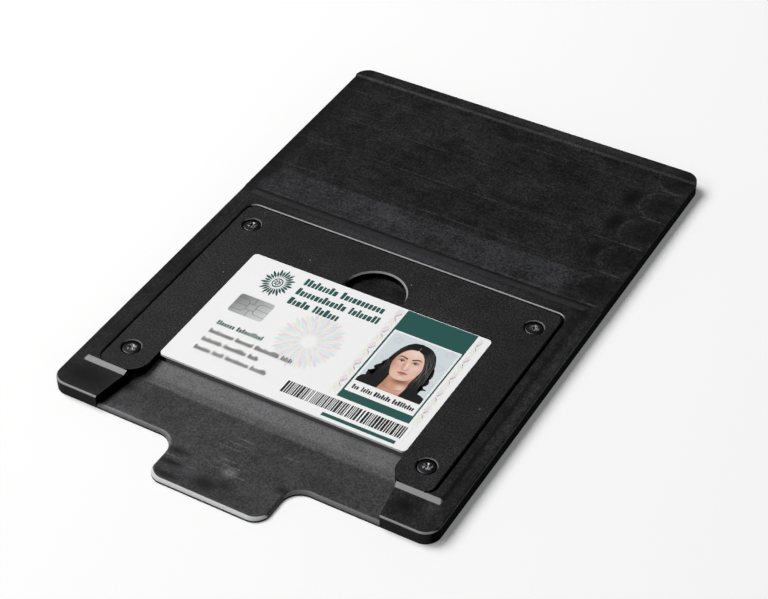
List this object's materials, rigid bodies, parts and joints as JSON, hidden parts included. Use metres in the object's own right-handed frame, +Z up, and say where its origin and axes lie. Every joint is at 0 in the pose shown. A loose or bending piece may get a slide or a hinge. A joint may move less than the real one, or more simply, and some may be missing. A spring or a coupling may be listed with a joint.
{
  "type": "id card printer card carrier",
  "caption": "Flat milled tray with a pull handle, a recessed U-shaped nest plate held by screws, and a printed chip card lying in its pocket.",
  "frame": {"origin": "middle of the bounding box, on the flat underside of the carrier plate", "axes": "+Y to the rear, away from the pull handle; +X to the right with the handle towards the viewer; +Z up, out of the card's printed face"},
  "size_m": [0.131, 0.2008, 0.0053],
  "materials": {
    "anodised_carrier": "milled and black anodised, satin",
    "anodised_nest": "bead-blasted and black anodised, matt",
    "screw_steel": "black zinc, worn bright on the crown",
    "card_plastic": "white card plastic",
    "card_film": "clear satin film over white print",
    "contact_metal": "nickel-plated foil, fine satin",
    "chip_epoxy": "glass-filled epoxy tape",
    "silicon": "polished silicon",
    "chip_resin": "black resin"
  },
  "bodies": {
    "carrier": {"carrier_plate": "anodised_carrier", "nest_plate": "anodised_nest", "screw_front_left": "screw_steel", "screw_front_right": "screw_steel", "screw_rear_left": "screw_steel", "screw_rear_right": "screw_steel"},
    "id_card": {"card_core": "card_plastic", "card_front_overlay": "card_film", "card_back_overlay": "card_film", "chip_contacts": "contact_metal", "chip_tape": "chip_epoxy", "chip_die": "silicon", "chip_potting": "chip_resin"}
  },
  "joints": [
    {"name": "card_lift", "type": "slide", "parent": "carrier", "child": "id_card", "axis": [0, 0, 1], "range_m": [0, 0.03]}
  ]
}
